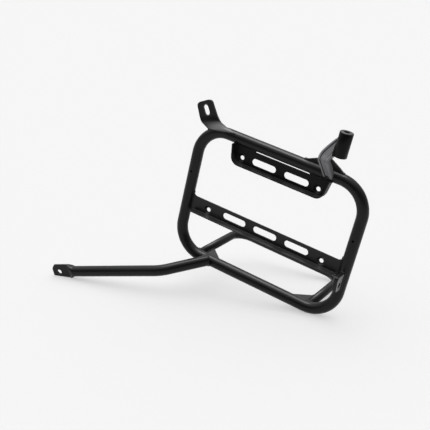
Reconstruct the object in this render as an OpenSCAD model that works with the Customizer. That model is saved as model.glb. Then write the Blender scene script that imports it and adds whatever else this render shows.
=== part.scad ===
// Pannier frame: a welded tube hoop with bag plates, a bag shelf, a lower stay and three
// mounting points towards the motorcycle.
// Origin: middle of the lower plate's two bag screw holes, at the floor of their dishes.
// +X runs along the hoop towards the spacer, +Y outboard towards the bag, +Z up the uprights.

/* [Tubes] */
// Outside diameter of the hoop tube and of the lower stay
tube_d = 18; // [17:0.5:19]
// Wall of every tube
tube_wall = 1.5; // [1.2:0.1:2]
// Outside diameter of the shelf tube
shelf_d = 14; // [12:0.5:15]

/* [Hoop] */
// Width of the hoop between tube centres
hoop_w = 283; // [276:1:290]
// Height of the hoop between tube centres
hoop_h = 213; // [208:1:218]
// Bend radius of the hoop's corners at the tube centre
hoop_bend_r = 46; // [42:1:50]
// Height of the hoop's middle above the lower screw holes
hoop_mid_z = 25.5; // [24:0.5:27]
// Diameter of the drain hole in the face of each upright
drain_d = 4; // [3:0.5:5]
// Height of the drain holes above the hoop's middle
drain_rise = 28; // [20:1:34]

/* [Bag plates] */
// Sheet thickness of both bag plates
sheet_t = 2; // [1.5:0.5:2.5]
// How far the folded lips stand out from the plates' inboard faces
lip_depth = 12.5; // [9:0.5:14]
// Diameter of the screw holes for the bag
bag_hole_d = 7; // [6:0.5:7.5]
// Diameter of the pressed dish around each screw hole
dish_d = 14; // [12:0.5:14.5]
// Depth of the pressed dish
dish_depth = 2.5; // [1.5:0.5:3]
// Length of the strap slots
slot_len = 41; // [36:1:44]
// Width of the strap slots
slot_w = 10.5; // [9:0.5:11]
// Distance between strap slots
slot_pitch = 55.5; // [54:0.5:57]

/* [Lower plate] */
// Distance between the lower plate's screw holes
lower_hole_pitch = 203; // [201:1:205]
// Lower edge of the plate below its screw holes
lower_plate_drop = 9.5; // [9:0.5:12]
// Upper edge of the plate above its screw holes
lower_plate_rise = 14.5; // [13:0.5:16]
// Radius of the flare where the plate's upper edge meets an upright
flare_r = 7; // [4:1:9]
// Height of the slot row above the screw holes
lower_slot_rise = 3.2; // [2:0.2:4]
// Offset of the slot row along the hoop
lower_slot_shift = 3; // [0:0.5:4]

/* [Upper plate] */
// Distance between the upper plate's screw holes
upper_hole_pitch = 131; // [129:1:133]
// Depth of the upper screw holes below the middle of the hoop's upper bar
upper_hole_drop = 28; // [27:0.5:29]
// Lower edge of the plate below its screw holes
upper_plate_drop = 10; // [9:0.5:11]
// Radius of the plate's lower corners
upper_corner_r = 14; // [12:0.5:15]
// Lean of the plate's sides from upright
upper_side_lean = 10; // [6:1:12]
// Height of the slot row above the screw holes
upper_slot_rise = 1.8; // [1:0.2:3]
// Offset of the slot row along the hoop
upper_slot_shift = 1.5; // [0:0.5:2]
// Length of the slit between the plate and the hoop's upper bar
slit_len = 92; // [80:1:100]
// Height of that slit below the tube
slit_h = 2; // [1:0.5:3]

/* [Shelf] */
// Distance between the shelf's two arms at their centres
shelf_w = 202; // [198:1:206]
// Reach of the shelf's far bar from the hoop's bar, between centres
shelf_reach = 138; // [120:1:150]
// Bend radius of the shelf's corners at the tube centre
shelf_bend_r = 28; // [24:1:40]
// Length of each corner gusset's legs from the tube centres
gusset_leg = 48; // [44:1:54]
// Thickness of the corner gussets
gusset_t = 3; // [2:0.5:4]

/* [Lower stay] */
// End of the stay against the hoop's lower bar, along X
stay_root_x = -76; // [-80:1:-74]
// Elbow of the stay along X
stay_bend_x = -134; // [-140:1:-128]
// Elbow of the stay along Y, from the plates' inboard faces
stay_bend_y = -50.5; // [-56:0.5:-46]
// Depth of the elbow below the middle of the hoop's lower bar
stay_bend_drop = 28.5; // [24:0.5:33]
// Middle of the stay's eye along X
stay_eye_x = -309.5; // [-330:0.5:-290]
// Middle of the stay's eye along Y, from the plates' inboard faces
stay_eye_y = -81; // [-90:0.5:-72]
// Depth of the eye's middle below the middle of the hoop's lower bar
stay_eye_drop = 101.5; // [89:0.5:114]
// Bend radius of the elbow at the tube centre
stay_bend_r = 60; // [40:1:70]
// Diameter of the hole in the eye
stay_hole_d = 9; // [8:0.5:10]
// Width of the flattened eye
eye_w = 27; // [24:0.5:28]
// Thickness of the flattened eye
eye_t = 4; // [3:0.5:5]

/* [Front tab] */
// Thickness of the folded tab
tab_t = 4; // [3:0.5:5]
// Distance of the tab's face from the hoop's middle plane
tab_offset = 8; // [7:0.5:10]
// Lean of the slot from upright
slot_lean = 33; // [28:1:38]
// Width of the slot
tab_slot_w = 9.5; // [8:0.5:10]
// Length of the slot
tab_slot_len = 17; // [14:0.5:18]

/* [Spacer and arm] */
// Outside diameter of the spacer
spacer_d = 20; // [19:0.5:22]
// Diameter of the spacer's bore
spacer_bore_d = 8.5; // [8:0.5:10]
// Length of the spacer
spacer_len = 37; // [34:1:40]
// Thickness of the arm's sheet
arm_t = 3; // [2:0.5:3.5]
// Depth of the arm's folded sides
arm_depth = 9; // [8:0.5:11]
// Thickness of the leaning brace behind the arm
brace_t = 3; // [2:0.5:4]

/* [Side lug] */
// Thickness of the lug on the upright
lug_t = 6; // [4:0.5:7]
// Diameter of the lug's hole
lug_hole_d = 8.5; // [7:0.5:9]

/* [Hidden] */
$fn = 36;
// Overshoot of every cut past the face it opens
cut = 1;
// Colour of the black coat
coat = [0.07, 0.07, 0.075];
// Every module draws with Y counted from the plates' inboard faces, and to_frame() then moves it.
// Centre plane of the hoop
hoop_y = sheet_t / 2;
bar_z = hoop_h / 2;
low_z = hoop_mid_z - bar_z;
top_z = hoop_mid_z + bar_z;
upright_x = hoop_w / 2;
arm_x = shelf_w / 2;
tube_r = tube_d / 2;
plate_reach = upright_x - tube_r;
// Set-back of the lower lip's ends from the uprights
lip_gap = 5;
// Height of the upper plate's screw holes above the lower plate's
upper_hole_z = top_z - upper_hole_drop;
// Upper end of the upper plate's folded sides, above the tube's underside
side_rise = 1.5;
// Half width of the upper plate's straight lower edge
upper_half = 65.5;

// The hoop's upper corners, where the centre lines of bar and upright would cross
right_corner = [upright_x, 0, top_z];
left_corner = [-upright_x, 0, top_z];

// Middle of the spacer's lower end, from the right corner
spacer_at = [-50.2, -23, 38];
spacer_chamfer = 0.8;

// Side view of the arm's outer surface: foot, fold and tip, as [Y, Z] from the right corner
arm_path = [[-8.8, -4], [-35, 26], [-20, 56]];
// Front view of the arm's two edges from foot to tip, as [X, Z] from the right corner
arm_left = [[-72, -12], [-76.5, 26.5], [-60.5, 62]];
arm_right = [[-58.5, -12], [-64, 26.5], [-46, 62]];

// Side view of the brace's face from the hoop to the arm, as [Y, Z] from the right corner
brace_path = [[1, 7], [-26, 31]];
// Front view of the brace, as [X, Z] from the right corner
brace_outline = [[-112.5, 6], [-82.5, 23], [-70.5, 31], [-59.5, 31], [-49, 17.5], [-42.5, 6]];

// Front view of the tab above its fold, from the fold's left end to its right end, from the left corner
tab_upper = [[-11.8, -0.5], [-22.5, 21.5], [-23.4, 25], [-18.5, 29.6], [-7.4, 36], [-2, 36.6],
  [0.4, 35.4], [17.1, 12.5]];
// Front view of the tab below its fold, with the tongue by which it joins the upper part
tab_foot = [[17.1, 12.5], [52.5, 8.8], [46.5, 0], [13.5, -10], [9, -5.6], [-11.8, -0.5], [-8.5, 4],
  [11.5, 13]];
// Height of that tongue above the fold
tab_lap = 1;
// Middle of the tab's slot, from the left corner
tab_slot_at = [-6, 20];
// Distance across the fold line over which the foot comes back to the hoop's middle plane
tab_foot_drop = 15.7;
// Reach of the foot's blank before it is trimmed to outline
tab_blank = 60;

// Side view of the lug, and its hole, as [Y, Z]
lug_outline = [[0, 2], [-26, 1.5], [-30, 0], [-31.5, -4], [-26.5, -21], [-23, -25], [0, -27]];
lug_hole_at = [-17.8, -14.8];

// Start of the stay's taper and of its flat, measured back from the eye's hole
taper_from = 30;
flat_from = 17;
// Distance from the hole to the eye's cut end, and the size of that end's chamfers
eye_end = 12;
eye_chamfer = 5;
// Solid length at the stay's root, closed by the weld
root_plug = 4;
// Thickness of the slices that the taper is drawn between
slice = 0.2;
// Swell of the bent length's diameter, and how far the straight runs reach into it
bend_swell = 0.1;
bend_lap = 0.5;
// Height of the stay's root above the middle of the hoop's lower bar
root_rise = 3.7;

stay_root = [stay_root_x, hoop_y - tube_r, low_z + root_rise];
stay_bend = [stay_bend_x, stay_bend_y, low_z - stay_bend_drop];
stay_eye = [stay_eye_x, stay_eye_y, low_z - stay_eye_drop];
stay_along = unit(stay_eye - stay_bend);
stay_flat = unit(cross(stay_along, stay_root - stay_bend));
stay_across = cross(stay_flat, stay_along);
stay_len = norm(stay_eye - stay_bend);
root_len = norm(stay_root - stay_bend);
// Angle that the elbow turns through, and the length it takes from each run
stay_turn = 180 - acos(unit(stay_root - stay_bend) * stay_along);
stay_tangent = stay_bend_r * tan(stay_turn / 2);

function unit(v) = v / norm(v);
// Angles for rotate() that carry X, Y and Z onto three given unit vectors
function turn_to(ex, ey, ez) = [atan2(ey[2], ez[2]), -asin(ex[2]), atan2(ex[1], ex[0])];
// Normal of a direction in a side view, pointing outboard for a rising line
function side_normal(u) = [u[1], -u[0]];
// A bent line moved outboard by a distance, with its corner mitred and its ends lengthened
function moved_path(path, dist, over) =
  let (u1 = unit(path[1] - path[0]), u2 = unit(path[2] - path[1]), n1 = side_normal(u1), n2 = side_normal(u2))
  [path[0] + n1 * dist - u1 * over, path[1] + (n1 + n2) * dist / (1 + n1 * n2),
    path[2] + n2 * dist + u2 * over];

// Moves what is drawn from the plates' inboard faces to the floor of the screw holes' dishes
module to_frame() {
  translate([0, -dish_depth, 0])
    children();
}

// Ring of round bar lying in the hoop's plane
module hoop_form(d) {
  translate([0, hoop_y, hoop_mid_z])
    rotate([90, 0, 0])
      for (q = [0 : 3]) {
        half_w = (q % 2 == 0 ? hoop_w : hoop_h) / 2;
        half_h = (q % 2 == 0 ? hoop_h : hoop_w) / 2;
        rotate([0, 0, q * 90]) {
          translate([half_w - hoop_bend_r, half_h - hoop_bend_r, 0])
            rotate_extrude(angle = 90)
              translate([hoop_bend_r, 0])
                circle(d = d);
          translate([half_w, -half_h + hoop_bend_r, 0])
            rotate([-90, 0, 0])
              cylinder(d = d, h = 2 * (half_h - hoop_bend_r));
        }
      }
}

module main_hoop() {
  color(coat)
    to_frame()
      difference() {
        hoop_form(tube_d);
        hoop_form(tube_d - 2 * tube_wall);
        for (side = [-1, 1])
          translate([side * upright_x, hoop_y, hoop_mid_z + drain_rise])
            rotate([90, 0, 0])
              cylinder(d = drain_d, h = tube_r + cut);
      }
}

// Cutters for one strap slot, standing across the sheet
module strap_slot(len, width) {
  for (side = [-1, 1])
    translate([side * (len - width) / 2, sheet_t + cut, 0])
      rotate([90, 0, 0])
        cylinder(d = width, h = sheet_t + 2 * cut);
  translate([-(len - width) / 2, -cut, -width / 2])
    cube([len - width, sheet_t + 2 * cut, width]);
}

// Raised back of a pressed dish
module dish_back() {
  rotate([-90, 0, 0])
    cylinder(d1 = dish_d + sheet_t, d2 = dish_d - 2 * dish_depth + sheet_t, h = sheet_t + dish_depth);
}

// Hollow and screw hole of a pressed dish
module dish_cut() {
  rotate([-90, 0, 0])
    cylinder(d1 = dish_d, d2 = dish_d - 2 * dish_depth, h = dish_depth);
  translate([0, -cut, 0])
    rotate([-90, 0, 0])
      cylinder(d = bag_hole_d, h = sheet_t + dish_depth + 2 * cut);
}

module lower_plate() {
  color(coat)
    to_frame()
      difference() {
        union() {
          translate([-upright_x, 0, -lower_plate_drop])
            cube([hoop_w, sheet_t, lower_plate_drop + lower_plate_rise]);
          for (side = [-1, 1])
            translate([side * lower_hole_pitch / 2, 0, 0])
              dish_back();
          translate([-upright_x, 0, lower_plate_rise])
            cube([tube_r + flare_r, sheet_t, flare_r]);
          translate([plate_reach - flare_r, 0, lower_plate_rise])
            cube([tube_r + flare_r, sheet_t, flare_r]);
          translate([-plate_reach + lip_gap, -lip_depth, -lower_plate_drop])
            cube([2 * (plate_reach - lip_gap), lip_depth + sheet_t, sheet_t]);
        }
        for (side = [-1, 1]) {
          translate([side * (plate_reach - flare_r), -cut, lower_plate_rise + flare_r])
            rotate([-90, 0, 0])
              cylinder(r = flare_r, h = sheet_t + 2 * cut);
          translate([side * lower_hole_pitch / 2, 0, 0])
            dish_cut();
        }
        for (i = [-1 : 1])
          translate([lower_slot_shift + i * slot_pitch, 0, lower_slot_rise])
            strap_slot(slot_len, slot_w);
        hoop_form(tube_d);
      }
}

// Front view of the upper plate, drawn inset from its edge
module upper_outline(inset) {
  corner_z = upper_hole_z - upper_plate_drop + upper_corner_r;
  r = upper_corner_r - inset;
  side_x = upper_half + r * cos(upper_side_lean);
  side_z = corner_z - r * sin(upper_side_lean);
  end_z = top_z - tube_r + side_rise;
  end_x = side_x + (end_z - side_z) * tan(upper_side_lean);
  polygon([[-upper_half, corner_z - r], [upper_half, corner_z - r], [side_x, side_z],
    [end_x, end_z], [-end_x, end_z], [-side_x, side_z]]);
  for (side = [-1, 1])
    translate([side * upper_half, corner_z])
      circle(r = r);
}

module upper_plate() {
  color(coat)
    to_frame()
      difference() {
        union() {
          translate([upper_slot_shift, sheet_t, 0])
            rotate([90, 0, 0])
              linear_extrude(height = sheet_t + lip_depth)
                upper_outline(0);
          for (side = [-1, 1])
            translate([side * upper_hole_pitch / 2, 0, upper_hole_z])
              dish_back();
        }
        translate([upper_slot_shift, 0, 0])
          rotate([90, 0, 0])
            linear_extrude(height = lip_depth + cut)
              upper_outline(sheet_t);
        translate([upper_slot_shift - slit_len / 2, -cut, top_z - tube_r - slit_h])
          cube([slit_len, sheet_t + 2 * cut, slit_h + tube_r]);
        for (side = [-1, 1])
          translate([side * upper_hole_pitch / 2, 0, upper_hole_z])
            dish_cut();
        for (side = [-1, 1])
          translate([upper_slot_shift + side * slot_pitch / 2, 0, upper_hole_z + upper_slot_rise])
            strap_slot(slot_len, slot_w);
        hoop_form(tube_d);
      }
}

// Shelf tube: two arms, two corners and the far bar, before its ends are coped
module shelf_form(d) {
  translate([0, hoop_y, low_z]) {
    for (side = [-1, 1]) {
      translate([side * arm_x, 0, 0])
        rotate([-90, 0, 0])
          cylinder(d = d, h = shelf_reach - shelf_bend_r);
      translate([side * (arm_x - shelf_bend_r), shelf_reach - shelf_bend_r, 0])
        rotate([0, 0, side > 0 ? 0 : 90])
          rotate_extrude(angle = 90)
            translate([shelf_bend_r, 0])
              circle(d = d);
    }
    translate([-arm_x + shelf_bend_r, shelf_reach, 0])
      rotate([0, 90, 0])
        cylinder(d = d, h = shelf_w - 2 * shelf_bend_r);
  }
}

module shelf_loop() {
  color(coat)
    to_frame()
      difference() {
        shelf_form(shelf_d);
        shelf_form(shelf_d - 2 * tube_wall);
        hoop_form(tube_d);
      }
}

module shelf_gusset(side) {
  color(coat)
    to_frame()
      difference() {
        translate([side * arm_x, hoop_y, low_z - gusset_t / 2])
          linear_extrude(height = gusset_t)
            polygon([[0, 0], [0, gusset_leg], [-side * gusset_leg, 0]]);
        shelf_form(shelf_d);
        hoop_form(tube_d);
      }
}

module shelf_gusset_left() {
  shelf_gusset(-1);
}

module shelf_gusset_right() {
  shelf_gusset(1);
}

// Stay tube about its elbow, with the eye's run along +X and the elbow in the XY plane
module stay_form(d, root_stop) {
  run_start = stay_tangent - bend_lap;
  translate([run_start, 0, 0])
    rotate([0, 90, 0])
      cylinder(d = d, h = stay_len - taper_from - run_start);
  translate([stay_tangent, stay_bend_r, 0])
    rotate([0, 0, -90 - stay_turn])
      rotate_extrude(angle = stay_turn)
        translate([stay_bend_r, 0])
          circle(d = d + bend_swell);
  rotate([0, 0, 180 - stay_turn])
    translate([run_start, 0, 0])
      rotate([0, 90, 0])
        cylinder(d = d, h = root_len - root_stop - run_start);
}

// Flattened end of the stay, with its taper
module stay_eye_end() {
  hull() {
    translate([stay_len - taper_from, 0, 0])
      rotate([0, 90, 0])
        cylinder(d = tube_d, h = slice);
    translate([stay_len - flat_from, -eye_t / 2, -eye_w / 2])
      cube([slice, eye_t, eye_w]);
  }
  translate([stay_len, eye_t / 2, 0])
    rotate([90, 0, 0])
      linear_extrude(height = eye_t)
        polygon([[-flat_from, -eye_w / 2], [eye_end - eye_chamfer, -eye_w / 2],
          [eye_end, -eye_w / 2 + eye_chamfer], [eye_end, eye_w / 2 - eye_chamfer],
          [eye_end - eye_chamfer, eye_w / 2], [-flat_from, eye_w / 2]]);
}

module lower_stay() {
  color(coat)
    to_frame()
      difference() {
        translate(stay_bend)
          rotate(turn_to(stay_along, stay_across, stay_flat))
            difference() {
              union() {
                stay_form(tube_d, 0);
                stay_eye_end();
              }
              stay_form(tube_d - 2 * tube_wall, root_plug);
              translate([stay_len, eye_t / 2 + cut, 0])
                rotate([90, 0, 0])
                  cylinder(d = stay_hole_d, h = eye_t + 2 * cut);
            }
        hoop_form(tube_d);
      }
}

// Plate cut to an [X, Z] outline, wide enough in Y to cover the whole part
module front_cut(outline) {
  translate([0, hoop_h, 0])
    rotate([90, 0, 0])
      linear_extrude(height = 2 * hoop_h)
        polygon(outline);
}

// Cutter for the tab's slot, with its length along X
module tab_slot() {
  for (side = [-1, 1])
    translate([side * (tab_slot_len - tab_slot_w) / 2, -cut, 0])
      rotate([-90, 0, 0])
        cylinder(d = tab_slot_w, h = tab_t + 2 * cut);
  translate([-(tab_slot_len - tab_slot_w) / 2, -cut, -tab_slot_w / 2])
    cube([tab_slot_len - tab_slot_w, tab_t + 2 * cut, tab_slot_w]);
}

// Front tab about the hoop's left corner, before it is coped over the tube
module tab_form() {
  fold_a = tab_upper[0];
  fold_b = tab_upper[len(tab_upper) - 1];
  fold_turn = atan2(fold_b[1] - fold_a[1], fold_b[0] - fold_a[0]);
  bend = atan2(tab_offset, tab_foot_drop);
  back_z = -tab_t * tan(bend / 2);
  foot_run = [-tab_blank * sin(bend), -tab_blank * cos(bend)];
  face_y = hoop_y + tab_offset;
  difference() {
    union() {
      translate([0, face_y + tab_t, 0])
        rotate([90, 0, 0])
          linear_extrude(height = tab_t)
            polygon(tab_upper);
      intersection() {
        front_cut(tab_foot);
        translate([fold_a[0], face_y, fold_a[1]])
          rotate([0, -fold_turn, 0])
            translate([-tab_blank, 0, 0])
              rotate([90, 0, 90])
                linear_extrude(height = 3 * tab_blank)
                  polygon([[0, 0], [0, tab_lap], [tab_t, tab_lap], [tab_t, back_z],
                    [tab_t, back_z] + foot_run, foot_run]);
      }
    }
    translate([tab_slot_at[0], face_y, tab_slot_at[1]])
      rotate([0, 90 - slot_lean, 0])
        tab_slot();
  }
}

module front_tab() {
  color(coat)
    to_frame()
      difference() {
        translate(left_corner)
          tab_form();
        hoop_form(tube_d);
      }
}

// Band between two distances outboard of the arm's outer surface, cut to the arm's front view
module arm_band(from, to, inset, over) {
  near = moved_path(arm_path, from, over);
  far = moved_path(arm_path, to, over);
  translate(right_corner)
    intersection() {
      translate([-hoop_w, 0, 0])
        rotate([90, 0, 90])
          linear_extrude(height = hoop_w)
            polygon([near[0], near[1], near[2], far[2], far[1], far[0]]);
      front_cut([for (p = arm_left) p + [inset, 0], for (i = [2 : -1 : 0]) arm_right[i] - [inset, 0]]);
    }
}

// Room for the spacer, from its lower end upwards
module spacer_seat() {
  translate(right_corner + spacer_at)
    cylinder(d = spacer_d, h = 2 * spacer_len);
}

module spacer_arm() {
  color(coat)
    to_frame()
      difference() {
        arm_band(0, arm_depth, 0, 0);
        arm_band(arm_t, arm_depth + cut, arm_t, cut);
        spacer_seat();
        hoop_form(tube_d);
      }
}

module arm_brace() {
  n = side_normal(unit(brace_path[1] - brace_path[0])) * brace_t;
  color(coat)
    to_frame()
      difference() {
        translate(right_corner)
          intersection() {
            translate([-hoop_w, 0, 0])
              rotate([90, 0, 90])
                linear_extrude(height = hoop_w)
                  polygon([brace_path[0], brace_path[1], brace_path[1] + n, brace_path[0] + n]);
            front_cut(brace_outline);
          }
        arm_band(0, arm_depth, 0, 0);
        hoop_form(tube_d);
      }
}

module spacer() {
  inner = spacer_bore_d / 2;
  outer = spacer_d / 2;
  color(coat)
    to_frame()
      translate(right_corner + spacer_at)
        rotate_extrude()
          polygon([[inner, 0], [outer - spacer_chamfer, 0], [outer, spacer_chamfer],
            [outer, spacer_len - spacer_chamfer], [outer - spacer_chamfer, spacer_len],
            [inner, spacer_len]]);
}

module side_lug() {
  color(coat)
    to_frame()
      difference() {
        translate([upright_x - lug_t / 2, 0, 0])
          rotate([90, 0, 90])
            linear_extrude(height = lug_t)
              polygon(lug_outline);
        translate([upright_x - lug_t / 2 - cut, lug_hole_at[0], lug_hole_at[1]])
          rotate([0, 90, 0])
            cylinder(d = lug_hole_d, h = lug_t + 2 * cut);
        hoop_form(tube_d);
      }
}

main_hoop();
upper_plate();
lower_plate();
shelf_loop();
shelf_gusset_left();
shelf_gusset_right();
lower_stay();
front_tab();
arm_brace();
spacer_arm();
spacer();
side_lug();
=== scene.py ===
"""Looks of the pannier frame: smooth tubes, softened sheets, weld beads, black coat, floor and light."""
import math

import bmesh
import bpy
from mathutils import Matrix, Vector


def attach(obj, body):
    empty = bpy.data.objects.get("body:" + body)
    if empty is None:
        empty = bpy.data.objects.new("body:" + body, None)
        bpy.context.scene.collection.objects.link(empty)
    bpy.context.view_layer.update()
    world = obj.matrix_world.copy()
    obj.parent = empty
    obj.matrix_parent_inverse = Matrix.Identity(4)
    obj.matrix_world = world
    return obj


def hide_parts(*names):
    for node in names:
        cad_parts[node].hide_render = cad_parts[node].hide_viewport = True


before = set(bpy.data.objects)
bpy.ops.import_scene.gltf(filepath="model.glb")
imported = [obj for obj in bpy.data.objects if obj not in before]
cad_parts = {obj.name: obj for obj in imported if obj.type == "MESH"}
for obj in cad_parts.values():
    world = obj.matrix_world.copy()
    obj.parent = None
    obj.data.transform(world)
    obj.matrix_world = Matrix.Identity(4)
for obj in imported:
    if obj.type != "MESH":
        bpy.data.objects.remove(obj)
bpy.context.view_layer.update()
MM = 0.001
X, Y, Z = Vector((1, 0, 0)), Vector((0, 1, 0)), Vector((0, 0, 1))

# Sizes of the CAD source that the pieces are drawn from, in millimetres
TUBE_R, SHELF_R = 9.0, 7.0
HOOP_Y, LOW_Z, TOP_Z, UPRIGHT_X, HOOP_BEND = -1.5, -81.0, 132.0, 141.5, 46.0
DRAIN_Z, DRAIN_R = 53.5, 2.0
SHELF_X, SHELF_Y, SHELF_BEND = 101.0, 136.5, 28.0
STAY_ROOT = Vector((-76, -10.5, -77.3))
STAY_BEND = Vector((-134, -53, -109.5))
STAY_EYE = Vector((-309.5, -83.5, -182.5))
STAY_BEND_R = 60.0
TAPER_FROM, FLAT_FROM = 30.0, 17.0
EYE_W, EYE_T, EYE_HOLE_R = 27.0, 4.0, 4.5
# The eye's end: how far past its hole's middle, and how far out from there its sides are
EYE_TIP = ((7.0, 13.5), (10.5, 9.3), (12.0, 6.5))
SPACER = Vector((91.3, -25.5, 170))
SPACER_R, SPACER_BORE_R, SPACER_LEN = 10.0, 4.25, 37.0
SPACER_EDGE, SPACER_BORE_EDGE = 0.8, 0.4
# The sheets' front face, the lower plate's lip and thin tips, and the upper plate's dishes and lips
FACE_Y = -0.5
LOWER_LIP_Z, LOWER_TIP_X = -9.5, 131.4
DISH_X, DISH_Z, DISH_R = 65.5, 104.0, 9.6
UPPER_MIDDLE_X, UPPER_SIDE_X, UPPER_LOW_Z, UPPER_HIGH_Z = 1.5, 70.0, 98.0, 121.0

# How round the folds and the cut edges of the sheets are
LOWER_FOLD_R, UPPER_FOLD_R, THIN_EDGE_R, THICK_EDGE_R = 2.2, 1.6, 0.4, 0.5

# The folded arm, from its tip beside the spacer to its foot on the hoop, as its two edges
ARM_LEFT = (
    (80.5, -17.9, 197), (74, -22.5, 188), (67.2, -28.8, 176), (64.4, -31.8, 169.4), (63.8, -34.8, 164),
    (64.6, -37.2, 159), (66, -34.8, 154.5), (67.1, -28.8, 148), (69, -19.5, 138), (71, -13, 130),
)
ARM_RIGHT = (
    (86.5, -18, 197), (84.8, -24.5, 184), (83.6, -30.3, 172), (81, -33.6, 165.5), (79.4, -36.6, 160.8),
    (79.8, -36.4, 157.2), (81.2, -32.8, 152.4), (83, -25.1, 143.9), (84.4, -17.4, 135), (85.2, -13, 130),
)
ARM_DEPTH, ARM_SHEET, ARM_BEAD, ARM_GROOVE = 9.0, 3.0, 3.4, 2.2
# Near its tip the arm's beads and walls are no wider than these shares of its width
BEAD_SHARE, WALL_SHARE = 0.3, 0.32
# The sides of the arm's outline that run along its grooves, which take the black coat as painted shade
ARM_PAINTED_SHADE_SIDES = (5, 8, 9)

# The front tab, from its top to its fold, as the two edges of its flat part in X and Z
TAB_Y, TAB_T = 6.5, 4.0
TAB_LEFT = (
    (-157.5, 163.3), (-160.8, 161.3), (-163.3, 159.2), (-164.8, 156.8), (-165.0, 154.4), (-164, 151.8),
)
TAB_RIGHT = (
    (-150.5, 167.4), (-147.2, 168.7), (-143.6, 168.9), (-141.2, 167.8), (-139.6, 166), (-138.2, 163.8),
)
TAB_FOLD = (Vector((-153.3, TAB_Y, 131.5)), Vector((-124.4, TAB_Y, 144.5)))
# The lower edge of the tab's foot, and how far the foot's front stands off the hoop
TAB_TOE = (
    (-130.6, -5.6, 128.2), (-119.5, -9.4, 131.2), (-108.5, -10.2, 133.6), (-96, -9.8, 136.2),
    (-83, -8.4, 138.4),
)
TAB_FOOT_OFF = 0.5
TAB_SLOT = Vector((-147.5, TAB_Y, 152))
TAB_SLOT_R, TAB_SLOT_HALF, TAB_SLOT_LEAN = 4.75, 3.75, 33.0

# Weld beads: the step between their points, the length of one scale, and two thicknesses
WELD_STEP, WELD_SCALE, LIP_WELD_R, TAB_WELD_R = 0.7, 2.2, 1.4, 1.3
# The bead round the right end of the lower plate's lip. The left one mirrors it
LIP_WELD = ((132.7, -2.6, -6), (132.2, -2.8, -9), (130.6, -3, -10.6), (127.4, -3.4, -11.2))
# A point this near to a surface counts as on it
TOUCH = 0.12


# Materials
class Value:
    """A socket of a material. Sums and products on it add the nodes that work them out."""

    def __init__(self, tree, socket):
        self.tree, self.socket = tree, socket

    def node(self, kind, inputs=None, out=0, **settings):
        """Adds any node, sets its settings and feeds its inputs by name or number."""
        made = self.tree.nodes.new(kind)
        for name, value in settings.items():
            setattr(made, name, value)
        for name, value in (inputs or {}).items():
            if isinstance(value, Value):
                self.tree.links.new(value.socket, made.inputs[name])
            else:
                made.inputs[name].default_value = value
        return Value(self.tree, made.outputs[out])

    def maths(self, operation, *values):
        """One step of arithmetic on values."""
        return self.node("ShaderNodeMath", dict(enumerate(values)), operation=operation)

    def __add__(self, other):
        return self.maths("ADD", self, other)

    def __sub__(self, other):
        return self.maths("SUBTRACT", self, other)

    def __mul__(self, other):
        return self.maths("MULTIPLY", self, other)

    def ramp(self, low, high, to_low=0.0, to_high=1.0):
        """This value carried from one range to another, held at both ends."""
        return self.node(
            "ShaderNodeMapRange", {"Value": self, 1: low, 2: high, 3: to_low, 4: to_high}
        )

    def tint(self, first, second):
        """A colour between two, by this value."""
        return self.node(
            "ShaderNodeMix", {0: self, 6: first, 7: second}, out=2, data_type="RGBA"
        )


def new_material(name):
    """An empty material, its shader, and a value to start its maths from."""
    made = bpy.data.materials.new(name)
    made.use_nodes = True
    tree = made.node_tree
    shader = tree.nodes["Principled BSDF"]
    place = tree.nodes.new("ShaderNodeTexCoord").outputs["Object"]
    return made, shader, Value(tree, place)


def join(value, shader, name):
    """Feeds an input of a shader with a value."""
    value.tree.links.new(value.socket, shader.inputs[name])


def black_coat(name, rough=0.36, grain=1.0, dark=0.0025, light=0.0055, shine=0.19):
    """Satin powder coat: fine grain, a slow drift of gloss and a slight drift of shade."""
    made, shader, place = new_material(name)
    grain_noise = place.node("ShaderNodeTexNoise", {"Vector": place, "Scale": 1500.0, "Detail": 3.0})
    peel = place.node("ShaderNodeTexNoise", {"Vector": place, "Scale": 420.0, "Detail": 2.0})
    drift = place.node("ShaderNodeTexNoise", {"Vector": place, "Scale": 14.0, "Detail": 4.0})
    gloss = drift.ramp(0.35, 0.65, rough - 0.04, rough + 0.05) + grain_noise.ramp(0.4, 0.6, -0.02, 0.02)
    colour = (drift * 0.5 + grain_noise * 0.5).ramp(0.3, 0.7).tint(
        (dark, dark, dark * 1.05, 1), (light, light, light * 1.04, 1)
    )
    height = peel * 0.7 + grain_noise * 0.3
    bump = place.node("ShaderNodeBump", {"Strength": 0.12 * grain, "Distance": 0.0002, "Height": height})
    join(colour, shader, "Base Color")
    join(gloss, shader, "Roughness")
    join(bump, shader, "Normal")
    shader.inputs["Specular IOR Level"].default_value = shine
    shader.inputs["Coat Weight"].default_value = 0.06
    shader.inputs["Coat Roughness"].default_value = 0.28
    return made


COAT = black_coat("black_powder_coat")
WELD = black_coat("coated_weld", rough=0.42, grain=2.0)
# The arm's coat is much greyer than the tubes' as painted light. The sheets' coat is a little greyer, and
# the spacer's top is lighter as painted light.
# The upper plate and the spacer's side look duller than the rest.
PAINTED_LIGHT_GREY = black_coat("grey_coat_painted_light", rough=0.42, dark=0.135, light=0.175, shine=0.4)
SHEET_COAT = black_coat("sheet_coat", dark=0.012, light=0.017)
UPPER_COAT = black_coat("upper_plate_coat", rough=0.42, dark=0.008, light=0.012, shine=0.05)
SPACER_COAT = black_coat("spacer_coat", rough=0.34, shine=0.08)
SPACER_TOP_PAINTED_LIGHT = black_coat("spacer_top_painted_light_coat", rough=0.38, dark=0.032, light=0.045, shine=0.25)


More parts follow.
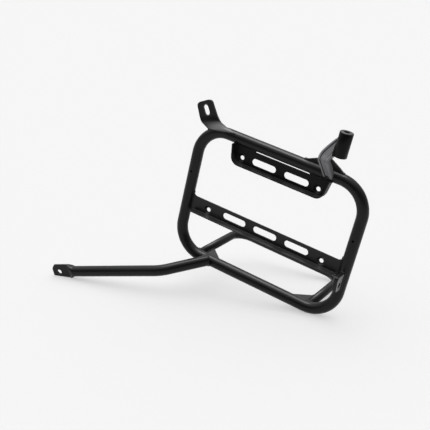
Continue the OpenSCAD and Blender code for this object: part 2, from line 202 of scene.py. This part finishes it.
def grey_by_painted_light(name, output, amount, grey):
    """The black coat, turning grey with painted light by an amount worked out from a texture coordinate's
    X, Y and Z.
    """
    made = COAT.copy()
    made.name = name
    tree = made.node_tree
    shader = tree.nodes["Principled BSDF"]
    black = Value(tree, shader.inputs["Base Color"].links[0].from_socket)
    place = Value(tree, tree.nodes.new("ShaderNodeTexCoord").outputs[output])
    parts = place.node("ShaderNodeSeparateXYZ", {"Vector": place}).socket.node.outputs
    turned = amount(*(Value(tree, parts[axis]) for axis in "XYZ"))
    join(turned.tint(black, (grey, grey, grey * 1.03, 1)), shader, "Base Color")
    return made


# The line of the tab's fold, below which a highlight is painted: its slope, and its height in metres where
# X is 0
FOLD_SLOPE, FOLD_HEIGHT = 0.45, 0.2005


def painted_highlight_below_fold(x, _, z):
    """Painted highlight: full below the line of the tab's fold, fading out towards the foot's left end."""
    return (x * FOLD_SLOPE + FOLD_HEIGHT - z).ramp(0.001, 0.008) * x.ramp(-0.14, -0.119)


def painted_light_facing_right(x, *_):
    """Painted light: full where the surface faces along X."""
    return x.ramp(0.8, 0.95)


# The tab's foot gets a painted highlight below its fold
TAB_PAINTED_HIGHLIGHT_COAT = grey_by_painted_light("tab_painted_highlight_coat", "Object", painted_highlight_below_fold, 0.08)
# The side lug gets painted light on its faces that face along X
LUG_PAINTED_LIGHT_COAT = grey_by_painted_light("lug_painted_light_coat", "Normal", painted_light_facing_right, 0.15)


# Geometry helpers
def add(name, data):
    """A new object in the scene."""
    made = bpy.data.objects.new(name, data)
    bpy.context.scene.collection.objects.link(made)
    return made


def mesh_from(name, bm):
    """Turns a bmesh into a mesh and frees it."""
    mesh = bpy.data.meshes.new(name)
    bm.to_mesh(mesh)
    bm.free()
    return mesh


def show(name, bm, material, replaced=()):
    """Turns a bmesh in millimetres into a piece that rides the frame."""
    bmesh.ops.recalc_face_normals(bm, faces=bm.faces)
    bmesh.ops.scale(bm, vec=(MM, MM, MM), verts=bm.verts)
    piece = add(name, mesh_from(name, bm))
    piece.data.materials.append(material)
    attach(piece, "root")
    if replaced:
        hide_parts(*replaced)
    return piece


def smooth_by_angle(bm, degrees):
    """Smooth faces, with sharp edges where they turn by more than an angle."""
    for face in bm.faces:
        face.smooth = True
    for edge in bm.edges:
        edge.smooth = edge.calc_face_angle(math.pi) < math.radians(degrees)


def even_shading(piece, keep_sharp):
    """Shades large faces flat up to their softened edges."""
    shade = piece.modifiers.new("even_shading", "WEIGHTED_NORMAL")
    shade.keep_sharp = keep_sharp


def standing(place, way):
    """A matrix that puts a thing at a place, with its own Z along a direction."""
    return Matrix.Translation(place) @ way.to_track_quat("Z", "Y").to_matrix().to_4x4()


def skin(bm, rings, closed=False):
    """Faces between rings of points, capped at the ends of an open run."""
    rows = [[bm.verts.new(p) for p in ring] for ring in rings]
    count = len(rows[0])
    for a, b in zip(rows, rows[1:] + (rows[:1] if closed else [])):
        for i in range(count):
            j = (i + 1) % count
            bm.faces.new((a[i], a[j], b[j], b[i]))
    if not closed:
        bm.faces.new(rows[0])
        bm.faces.new(rows[-1])


def frames_along(points, closed):
    """Two directions across the path at each point, turning as little as they can."""
    n = len(points)
    found = []
    side = None
    for i, p in enumerate(points):
        before = points[i - 1] if closed or i > 0 else p
        after = points[(i + 1) % n] if closed or i < n - 1 else p
        along = (after - before).normalized()
        if side is None:
            nearly_along_y = along.cross(Y).length < 0.1
            side = along.cross(Z if nearly_along_y else Y)
        side = (side - side.dot(along) * along).normalized()
        found.append((side.copy(), along.cross(side)))
    return found


def round_run(bm, points, radius, sides=48, closed=False):
    """A round bar along points. The radius may be a list with one value a point."""
    radii = radius if isinstance(radius, list) else [radius] * len(points)
    turns = [2 * math.pi * k / sides for k in range(sides)]
    rings = [
        [p + r * (math.cos(t) * u + math.sin(t) * v) for t in turns]
        for p, r, (u, v) in zip(points, radii, frames_along(points, closed))
    ]
    skin(bm, rings, closed)


def arc(centre, radius, u, v, start, end, step=3.0):
    """Points of an arc about centre in the plane of u and v, in degrees."""
    count = max(2, math.ceil(abs(end - start) / step))
    turns = [math.radians(start + (end - start) * i / count) for i in range(count + 1)]
    return [centre + radius * (math.cos(t) * u + math.sin(t) * v) for t in turns]


def through(points, per=4):
    """A smooth curve through points, as points."""
    points = [Vector(p) for p in points]
    made = []
    for i in range(len(points) - 1):
        a, b = points[max(i - 1, 0)], points[i]
        c, d = points[i + 1], points[min(i + 2, len(points) - 1)]
        for k in range(per):
            t = k / per
            made.append(0.5 * (2 * b + (c - a) * t + (2 * a - 5 * b + 4 * c - d) * t * t
                               + (3 * b - a - 3 * c + d) * t ** 3))
    return made + [points[-1]]


def hoop_path():
    """The middle of the hoop's tube, all the way round."""
    points = []
    for k, (sx, sz) in enumerate(((1, 1), (-1, 1), (-1, -1), (1, -1))):
        edge = TOP_Z if sz > 0 else LOW_Z
        centre = Vector((sx * (UPRIGHT_X - HOOP_BEND), HOOP_Y, edge - sz * HOOP_BEND))
        points += arc(centre, HOOP_BEND, X, Z, 90 * k, 90 * k + 90)
    return points


def shelf_path():
    """The middle of the shelf's tube, from its right end in the hoop to its left end."""
    right = arc(Vector((SHELF_X - SHELF_BEND, SHELF_Y - SHELF_BEND, LOW_Z)), SHELF_BEND, X, Y, 0, 90)
    left = arc(Vector((SHELF_BEND - SHELF_X, SHELF_Y - SHELF_BEND, LOW_Z)), SHELF_BEND, X, Y, 90, 180)
    start, end = Vector((SHELF_X, HOOP_Y, LOW_Z)), Vector((-SHELF_X, HOOP_Y, LOW_Z))
    return [start] + right + left + [end]


HOOP, SHELF = hoop_path(), shelf_path()


def nearest_on(points, closed=False):
    """A function that gives the point of a path that is nearest to a point."""
    pairs = list(zip(points, points[1:] + (points[:1] if closed else [])))
    runs = [(a, b - a, (b - a).length_squared) for a, b in pairs if (b - a).length > 1e-6]

    def nearest(p):
        feet = (a + d * max(0.0, min(1.0, (p - a).dot(d) / long)) for a, d, long in runs)
        return min(feet, key=lambda foot: (p - foot).length_squared)

    return nearest


def laid_on(nearest, radius):
    """A function that moves a point inside a round tube out to the tube's surface."""
    def moved(p):
        foot = nearest(p)
        off = p - foot
        return p if off.length >= radius else foot + off.normalized() * radius

    return moved


def bored(piece, holes, stretch=None):
    """Cuts holes, each a centre, a direction, a radius and a length in millimetres, out of a piece.

    With stretch, half of each hole moves by it and the other half back by it, which makes a slot.
    """
    cutters = []
    for centre, direction, radius, length in holes:
        bm = bmesh.new()
        bmesh.ops.create_cone(
            bm, cap_ends=True, segments=40, radius1=radius, radius2=radius, depth=length,
            matrix=standing(centre, direction),
        )
        if stretch:
            for vertex in bm.verts:
                vertex.co += stretch * math.copysign(1, (vertex.co - centre).dot(stretch) + 1e-4)
        bmesh.ops.scale(bm, vec=(MM, MM, MM), verts=bm.verts)
        cutters.append(add("cutter", mesh_from("cutter", bm)))
        cut = piece.modifiers.new("hole", "BOOLEAN")
        cut.operation, cut.solver, cut.object = "DIFFERENCE", "EXACT", cutters[-1]
    graph = bpy.context.evaluated_depsgraph_get()
    made = bpy.data.meshes.new_from_object(piece.evaluated_get(graph), depsgraph=graph)
    piece.modifiers.clear()
    piece.data = made
    bm = bmesh.new()
    bm.from_mesh(made)
    smooth_by_angle(bm, degrees=35)
    bm.to_mesh(made)
    bm.free()
    for cutter in cutters:
        bpy.data.objects.remove(cutter)


# Tubes
def make_hoop():
    """The closed hoop, with a drain hole in the inboard face of each upright."""
    bm = bmesh.new()
    round_run(bm, HOOP, TUBE_R, closed=True)
    smooth_by_angle(bm, degrees=35)
    piece = show("hoop_tube", bm, COAT, ["main_hoop"])
    depth = 8.0
    bored(piece, [(Vector((s * UPRIGHT_X, HOOP_Y - TUBE_R, DRAIN_Z)), Y, DRAIN_R, depth) for s in (-1, 1)])


def make_shelf():
    """The thinner tube bent into a U."""
    bm = bmesh.new()
    round_run(bm, SHELF, SHELF_R, sides=40)
    smooth_by_angle(bm, degrees=35)
    show("shelf_tube", bm, COAT, ["shelf_loop"])


def flattened(centre, wide, thin, half_w, half_t, squareness, sides=64):
    """A ring that is an ellipse at squareness 2 and nears a rectangle as it grows."""
    ring = []
    power = 2 / squareness
    for k in range(sides):
        c, s = math.cos(2 * math.pi * k / sides), math.sin(2 * math.pi * k / sides)
        ring.append(
            centre
            + wide * math.copysign(abs(c) ** power, c) * half_w
            + thin * math.copysign(abs(s) ** power, s) * half_t
        )
    return ring


def make_stay():
    """A round tube with one elbow, flattened at its end into a pierced eye."""
    along = (STAY_EYE - STAY_BEND).normalized()
    back = (STAY_ROOT - STAY_BEND).normalized()
    wide = along.cross(back).normalized()
    thin = wide.cross(along)
    turn = math.pi - math.acos(back.dot(along))
    tangent = STAY_BEND_R * math.tan(turn / 2)
    centre = STAY_BEND + along * tangent + thin * STAY_BEND_R
    elbow = arc(centre, STAY_BEND_R, -thin, -along, math.degrees(turn), 0)
    round_form, flat_form, steps = 2, 10, 14
    rings = [flattened(STAY_ROOT, wide, wide.cross(-back), TUBE_R, TUBE_R, round_form)]
    for i, p in enumerate(elbow):
        t = turn * (1 - i / (len(elbow) - 1))
        way = along * math.cos(t) - thin * math.sin(t)
        rings.append(flattened(p, wide, wide.cross(way), TUBE_R, TUBE_R, round_form))
    round_length = (STAY_EYE - STAY_BEND).length - TAPER_FROM
    for i in range(steps + 1):
        x = i / steps
        ease = x * x * (3 - 2 * x)
        at = STAY_BEND + along * (round_length + (TAPER_FROM - FLAT_FROM) * x)
        half_w = TUBE_R + (EYE_W / 2 - TUBE_R) * ease
        half_t = TUBE_R + (EYE_T / 2 - TUBE_R) * ease
        form = round_form + (flat_form - round_form) * ease
        rings.append(flattened(at, wide, thin, half_w, half_t, form))
    for past, half_w in EYE_TIP:
        rings.append(flattened(STAY_EYE + along * past, wide, thin, half_w, EYE_T / 2, flat_form))
    bm = bmesh.new()
    skin(bm, rings)
    smooth_by_angle(bm, degrees=40)
    piece = show("stay_tube", bm, COAT, ["lower_stay"])
    depth = 12.0
    bored(piece, [(STAY_EYE, thin, EYE_HOLE_R, depth)])


def make_spacer():
    """A thick sleeve with chamfered ends. Its upper chamfer and its top have a lighter coat: painted light
    on the faces that look up.
    """
    bore_edge_r, outer_edge_r = SPACER_BORE_R + SPACER_BORE_EDGE, SPACER_R - SPACER_EDGE
    profile = [
        (SPACER_BORE_R, SPACER_BORE_EDGE),
        (bore_edge_r, 0),
        (outer_edge_r, 0),
        (SPACER_R, SPACER_EDGE),
        (SPACER_R, SPACER_LEN - SPACER_EDGE),
        (outer_edge_r, SPACER_LEN),
        (bore_edge_r, SPACER_LEN),
        (SPACER_BORE_R, SPACER_LEN - SPACER_BORE_EDGE),
    ]
    top_sides, sides = (4, 5), 72
    bm = bmesh.new()
    rows = []
    for k in range(sides):
        t = 2 * math.pi * k / sides
        ring = [SPACER + Vector((r * math.cos(t), r * math.sin(t), z)) for r, z in profile]
        rows.append([bm.verts.new(p) for p in ring])
    for a, b in zip(rows, rows[1:] + rows[:1]):
        for i in range(len(profile)):
            j = (i + 1) % len(profile)
            face = bm.faces.new((a[i], a[j], b[j], b[i]))
            face.material_index = 1 if i in top_sides else 0
    smooth_by_angle(bm, degrees=30)
    piece = show("spacer_sleeve", bm, SPACER_COAT, ["spacer"])
    # The lighter top coat is painted light
    piece.data.materials.append(SPACER_TOP_PAINTED_LIGHT)


# Sheet parts
def make_arm():
    """Channel open outboard, with a bead along each edge of its face and a rounded fold."""
    left, right = through(ARM_LEFT), through(ARM_RIGHT)
    middle = [(a + b) / 2 for a, b in zip(left, right)]
    rings = []
    for i, (a, b) in enumerate(zip(left, right)):
        width = (b - a).length
        across = (b - a) / width
        along = middle[min(i + 1, len(middle) - 1)] - middle[max(i - 1, 0)]
        face = across.cross(along).normalized()
        if face.y > 0:
            face = -face
        bead_w = min(ARM_BEAD, width * BEAD_SHARE)
        wall = min(ARM_SHEET, width * WALL_SHARE)
        # From the open side up and over the bead into the groove: how far in, and how high
        half = [(0, -ARM_DEPTH), (0, -1.2), (0.35, -0.35), (1.1, 0), (bead_w - 0.5, 0), (bead_w, -0.4),
                (bead_w + 0.2, -ARM_GROOVE), (bead_w + 1.2, -ARM_GROOVE)]
        inner = [(wall, -ARM_SHEET - ARM_GROOVE), (wall, -ARM_DEPTH)]
        outline = half + [(width - x, h) for x, h in reversed(half)]
        outline += [(width - x, h) for x, h in reversed(inner)] + inner
        rings.append([a + across * x + face * h for x, h in outline])
    bm = bmesh.new()
    skin(bm, rings)
    end_caps = 2
    # The groove sides get the black coat: painted shade along the grooves
    for place, side in enumerate(list(bm.faces)[:-end_caps]):
        if place % len(outline) in ARM_PAINTED_SHADE_SIDES:
            side.material_index = 1
    smooth_by_angle(bm, degrees=28)
    # The arm's grey coat is painted light on its faces
    piece = show("spacer_arm_sheet", bm, PAINTED_LIGHT_GREY, ["spacer_arm"])
    piece.data.materials.append(COAT)


def tab_face():
    """The tab's outer face as rows of points, from its top over its fold to its toe."""
    columns, flat_rows, foot_rows = 24, 10, 18
    share = [k / columns for k in range(columns + 1)]
    edges = [[Vector((x, TAB_Y, z)) for x, z in pair] for pair in zip(TAB_LEFT, TAB_RIGHT)]
    rows = [[a.lerp(b, t) for t in share] for a, b in edges]
    last = rows[-1]
    fold = [TAB_FOLD[0].lerp(TAB_FOLD[1], t) for t in share]
    rows += [[p.lerp(q, i / flat_rows) for p, q in zip(last, fold)] for i in range(1, flat_rows + 1)]
    bend_at = len(rows) - 1
    curve = through(TAB_TOE, per=6)
    toe = [curve[round(t * (len(curve) - 1))] for t in share]
    over_hoop = laid_on(nearest_on(HOOP, closed=True), TUBE_R + TAB_FOOT_OFF)
    for i in range(1, foot_rows + 1):
        rows.append([over_hoop(p.lerp(q, i / foot_rows)) for p, q in zip(fold, toe)])
    eased_rows, passes = 3, 6
    for _ in range(passes):
        before = [list(row) for row in rows]
        for j in range(bend_at - eased_rows + 1, bend_at + eased_rows):
            rows[j] = [(a + b) / 2 for a, b in zip(before[j - 1], before[j + 1])]
    return rows


def rim_of(rows):
    """The outermost points of rows, in order round their edge."""
    right, left = [row[-1] for row in rows[1:]], [row[0] for row in rows[-2:0:-1]]
    return rows[0] + right + rows[-1][-2::-1] + left


def make_tab():
    """Flat strip with a leaning slot, its foot bent back and laid over the hoop."""
    bm = bmesh.new()
    front = [[bm.verts.new(p) for p in row] for row in tab_face()]
    columns = len(front[0]) - 1
    for upper, lower in zip(front, front[1:]):
        for k in range(columns):
            bm.faces.new((upper[k], lower[k], lower[k + 1], upper[k + 1]))
    bm.normal_update()
    back = [[bm.verts.new(v.co - v.normal * TAB_T) for v in row] for row in front]
    for upper, lower in zip(back, back[1:]):
        for k in range(columns):
            bm.faces.new((upper[k], upper[k + 1], lower[k + 1], lower[k]))
    rim, back_rim = rim_of(front), rim_of(back)
    for i in range(len(rim)):
        bm.faces.new((rim[i - 1], rim[i], back_rim[i], back_rim[i - 1]))
    # The tab's coat paints a highlight on its foot below the fold
    piece = show("front_tab_sheet", bm, TAB_PAINTED_HIGHLIGHT_COAT, ["front_tab"])
    lean = math.radians(TAB_SLOT_LEAN)
    slot_way = Vector((-math.sin(lean), 0, math.cos(lean)))
    depth = 20.0
    bored(piece, [(TAB_SLOT, Y, TAB_SLOT_R, depth)], stretch=slot_way * TAB_SLOT_HALF)
    edge = piece.modifiers.new("broken_edges", "BEVEL")
    edge.width, edge.segments, edge.angle_limit = THICK_EDGE_R * MM, 2, math.radians(50)
    even_shading(piece, keep_sharp=False)


def round_edges(bm, radius, degrees, wanted, segments):
    """Rounds the edges that turn by more than an angle, where wanted says so for their two ends."""
    edges = []
    for edge in bm.edges:
        turns = len(edge.link_faces) == 2 and edge.calc_face_angle(0) > math.radians(degrees)
        if turns and wanted(*(vertex.co for vertex in edge.verts)):
            edges.append(edge)
    bmesh.ops.bevel(bm, geom=edges, offset=radius, offset_type="OFFSET", segments=segments, profile=0.5,
                    affect="EDGES", clamp_overlap=False)


def dress(node, name, coat=SHEET_COAT, soft=THICK_EDGE_R, fold=None, fold_r=0.0, leave=None):
    """A sheet part drawn again from its CAD node, with its cut edges broken and its folds rounded.

    Edges with both ends where fold says so are folds. Edges with an end where leave says so stay sharp.
    """
    bm = bmesh.new()
    bm.from_mesh(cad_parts[node].data)
    bmesh.ops.scale(bm, vec=(1 / MM,) * 3, verts=bm.verts)
    bmesh.ops.remove_doubles(bm, verts=bm.verts, dist=0.08)
    bmesh.ops.dissolve_limit(bm, angle_limit=math.radians(0.6), verts=bm.verts, edges=bm.edges)
    if fold:
        round_edges(bm, fold_r, 34, lambda a, b: fold(a) and fold(b), segments=5)
    round_edges(bm, soft, 40, lambda a, b: not (leave and (leave(a) or leave(b))), segments=2)
    smooth_by_angle(bm, degrees=50)
    even_shading(show(name, bm, coat, [node]), keep_sharp=True)


def same(a, b):
    """Whether two lengths are the same, apart from rounding."""
    return abs(a - b) < 0.05


def on_lower_fold(p):
    """Whether a point is on the fold of the lower plate's lip."""
    return same(p.y, FACE_Y) and same(p.z, LOWER_LIP_Z)


def at_lower_tip(p):
    """Whether a point is at one of the lower plate's thin tips beside the uprights."""
    return abs(p.x) > LOWER_TIP_X


def on_upper_fold(p):
    """Whether a point is on a fold of the upper plate's lips, and not on the edge of a dish."""
    off_dish = math.hypot(abs(p.x) - DISH_X, p.z - DISH_Z) > DISH_R
    near_rim = p.z < UPPER_LOW_Z or abs(p.x - UPPER_MIDDLE_X) > UPPER_SIDE_X
    return same(p.y, FACE_Y) and off_dish and near_rim and p.z < UPPER_HIGH_Z


def make_sheet_parts():
    """The two plates, the gussets, the arm's brace and the side lug."""
    dress("lower_plate", "lower_plate_sheet", soft=THIN_EDGE_R, fold=on_lower_fold, fold_r=LOWER_FOLD_R,
          leave=at_lower_tip)
    dress("upper_plate", "upper_plate_sheet", UPPER_COAT, soft=THIN_EDGE_R, fold=on_upper_fold,
          fold_r=UPPER_FOLD_R)
    for node in ("shelf_gusset_left", "shelf_gusset_right", "arm_brace"):
        dress(node, node + "_sheet")
    # The side lug's coat paints light on its faces that face along X
    dress("side_lug", "side_lug_sheet", LUG_PAINTED_LIGHT_COAT)


# Welds
def contact_loops(node, near):
    """Lines round the faces of a CAD node that lie against another piece's surface, and if they close."""
    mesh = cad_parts[node].data
    points = [v.co / MM for v in mesh.vertices]
    keys = [tuple(round(c, 2) for c in p) for p in points]
    touches = {k: near(p) for k, p in zip(keys, points)}
    counted = {}
    for face in mesh.polygons:
        ring = [keys[i] for i in face.vertices]
        if len(set(ring)) < 3 or not all(touches[k] for k in ring):
            continue
        for a, b in zip(ring, ring[1:] + ring[:1]):
            counted.setdefault(frozenset((a, b)), []).append((a, b))
    onward = {}
    for uses in counted.values():
        if len(uses) == 1:
            onward.setdefault(uses[0][0], []).append(uses[0][1])
    loops = []
    while onward:
        start = min(onward)
        loop, at = [start], onward[start].pop()
        while at != start and at in onward:
            loop.append(at)
            if not onward[at]:
                break
            at = onward[at].pop()
        onward = {k: v for k, v in onward.items() if v}
        if len(loop) > 3:
            loops.append(([Vector(p) for p in loop], at == start))
    return loops


def evenly(loop, step, closed):
    """The same line with points at even steps, its corners eased."""
    ends = loop + loop[:1] if closed else loop
    total = sum((b - a).length for a, b in zip(ends, ends[1:]))
    count = max(8, round(total / step))
    made, walked, target = [], 0.0, 0.0
    for a, b in zip(ends, ends[1:]):
        run = (b - a).length
        while target < walked + run - 1e-9 and len(made) < count:
            made.append(a.lerp(b, (target - walked) / run))
            target += total / count
        walked += run
    for _ in range(3):
        eased = [(made[i - 1] + 2 * p + made[(i + 1) % len(made)]) / 4 for i, p in enumerate(made)]
        made = eased if closed else made[:1] + eased[1:-1] + made[-1:]
    return made


def bead(bm, loop, radius, closed):
    """A weld bead along a joint: small overlapping scales, with a slow wander of its thickness."""
    points, too_few = evenly(loop, WELD_STEP, closed), 10
    if len(points) < too_few:
        return
    walked, radii = 0.0, []
    for i, p in enumerate(points):
        walked += (p - points[i - 1]).length
        phase = (walked / WELD_SCALE) % 1.0
        wander = 0.08 * math.sin(walked * 0.37) + 0.06 * math.sin(walked * 0.91 + 1)
        radii.append(radius * (0.9 + 0.16 * math.sin(math.pi * phase) + wander))
    round_run(bm, points, radii, sides=12, closed=closed)


def weld(name, lines, radius):
    """A piece with a bead along each line. A line is its points, and whether it closes."""
    bm = bmesh.new()
    for points, closed in lines:
        bead(bm, points, radius, closed)
    smooth_by_angle(bm, degrees=60)
    if bm.faces:
        show(name, bm, WELD)


def on_tube(nearest, radius):
    """A test of whether a point is on the surface of a round tube."""
    return lambda p: abs((p - nearest(p)).length - radius) < TOUCH


def on_spacer(p):
    """Whether a point is on the spacer's round side."""
    return abs(math.hypot(p.x - SPACER.x, p.y - SPACER.y) - SPACER_R) < TOUCH


def make_welds():
    """A bead on every joint, and two that fill the open corners of the lower plate's lip."""
    on_hoop = on_tube(nearest_on(HOOP, closed=True), TUBE_R)
    on_shelf = on_tube(nearest_on(SHELF), SHELF_R)
    # The node, a test for the surface that it is welded to, and how thick the bead is
    joints = [
        ("lower_plate", on_hoop, 1.3), ("upper_plate", on_hoop, 1.2), ("shelf_loop", on_hoop, 2.2),
        ("shelf_gusset_left", on_hoop, 1.5), ("shelf_gusset_right", on_hoop, 1.5),
        ("shelf_gusset_left", on_shelf, 1.3), ("shelf_gusset_right", on_shelf, 1.3),
        ("lower_stay", on_hoop, 2.4), ("arm_brace", on_hoop, 1.6),
        ("spacer_arm", on_hoop, 1.7), ("spacer_arm", on_spacer, 1.5), ("side_lug", on_hoop, 1.8),
    ]
    for number, (node, near, radius) in enumerate(joints):
        weld(f"weld_{number:02d}_{node}", contact_loops(node, near), radius)
    corners = [through([(side * x, y, z) for x, y, z in LIP_WELD]) for side in (-1, 1)]
    weld("weld_lip_corners", [(corner, False) for corner in corners], LIP_WELD_R)
    weld("weld_front_tab", [(through(TAB_TOE), False)], TAB_WELD_R)


make_hoop()
make_shelf()
make_stay()
make_spacer()
make_sheet_parts()
make_arm()
make_tab()
make_welds()


# Floor, light and camera
# The way up is square to the floor in the photo. Places are in metres from here on
UP = Vector((-0.23556694, -0.01749679, 0.97170061)).normalized()
FLOOR_AT = UP * -0.111523
FLOOR_SHADE, BACKDROP_SHADE = 0.497, 0.905
# The unlit side of the studio is behind the camera
DARK_SIDE = Vector((0.35, -0.93, 0.05)).normalized()
LIT_STRENGTH, DARK_STRENGTH = 0.55, 0.02
# How the lamps lean off the way up
LAMP_LEAN = Vector((-0.15, 0.1, 0))
# The lens in the photo's pixels, the photo's width, and a camera sensor's width in millimetres
LENS_PIXELS, PHOTO_PIXELS, SENSOR = 795.065, 430, 36.0
CAMERA_AT = Vector((0.420258, -1.042901, 0.505320))
CAMERA_RIGHT = Vector((0.83401018, 0.50965894, 0.2113641))
CAMERA_DOWN = Vector((0.37878987, -0.25035128, -0.89097838))
CAMERA_AHEAD = Vector((-0.40117983, 0.82314762, -0.40184916))


def make_floor():
    """A pale floor that shows from above only, so that it hides nothing from below."""
    made, shader, place = new_material("pale_floor")
    tree = made.node_tree
    shader.inputs["Base Color"].default_value = (FLOOR_SHADE, FLOOR_SHADE, FLOOR_SHADE, 1)
    shader.inputs["Roughness"].default_value = 0.9
    shader.inputs["Specular IOR Level"].default_value = 0.0
    below = place.node("ShaderNodeNewGeometry", out="Backfacing")
    clear = place.node("ShaderNodeBsdfTransparent")
    solid = Value(tree, shader.outputs[0])
    mixed = place.node("ShaderNodeMixShader", {0: below, 1: solid, 2: clear})
    tree.links.new(mixed.socket, tree.nodes["Material Output"].inputs["Surface"])
    bm = bmesh.new()
    bmesh.ops.create_grid(bm, x_segments=1, y_segments=1, size=40)
    floor = add("floor", mesh_from("floor", bm))
    floor.data.materials.append(made)
    floor.matrix_world = standing(FLOOR_AT, UP)


def sky_light(name, energy, angle, shadow=True):
    """A wide soft light from overhead."""
    data = bpy.data.lights.new(name, "SUN")
    data.energy, data.angle, data.use_shadow = energy, math.radians(angle), shadow
    made = add(name, data)
    made.rotation_mode = "QUATERNION"
    made.rotation_quaternion = (-(UP + LAMP_LEAN)).to_track_quat("-Z", "Y")


def make_world():
    """Light from all round but the dark side, and an even pale backdrop for the camera alone."""
    world = bpy.data.worlds.new("studio")
    bpy.context.scene.world = world
    world.use_nodes = True
    tree = world.node_tree
    out = tree.nodes["World Output"]
    light = tree.nodes["Background"]
    start = Value(tree, tree.nodes.new("ShaderNodeTexCoord").outputs["Generated"])
    facing = start.node("ShaderNodeVectorMath", {0: start, 1: DARK_SIDE}, out=1, operation="DOT_PRODUCT")
    join(facing.ramp(-0.1, 0.8, LIT_STRENGTH, DARK_STRENGTH), light, "Strength")
    light.inputs["Color"].default_value = (1, 1, 1, 1)
    pale = (BACKDROP_SHADE, BACKDROP_SHADE, BACKDROP_SHADE, 1)
    seen = start.node("ShaderNodeBackground", {"Color": pale, "Strength": 1.0})
    ray = start.node("ShaderNodeLightPath", out="Is Camera Ray")
    mixed = start.node("ShaderNodeMixShader", {0: ray, 1: Value(tree, light.outputs[0]), 2: seen})
    tree.links.new(mixed.socket, out.inputs["Surface"])


def make_camera():
    """The camera that was fitted to the photo."""
    data = bpy.data.cameras.new("camera")
    data.sensor_width, data.lens = SENSOR, LENS_PIXELS / PHOTO_PIXELS * SENSOR
    data.clip_end = 100
    made = add("camera", data)
    turned = Matrix((CAMERA_RIGHT, -CAMERA_DOWN, -CAMERA_AHEAD)).transposed().to_4x4()
    made.matrix_world = Matrix.Translation(CAMERA_AT) @ turned
    bpy.context.scene.camera = made


make_floor()
make_world()
make_camera()
sky_light("sky_panel", 1.55, 110)
sky_light("sky_fill", 3.1, 30, shadow=False)
bpy.context.scene.view_settings.view_transform = "Standard"
bpy.context.scene.view_settings.look = "None"
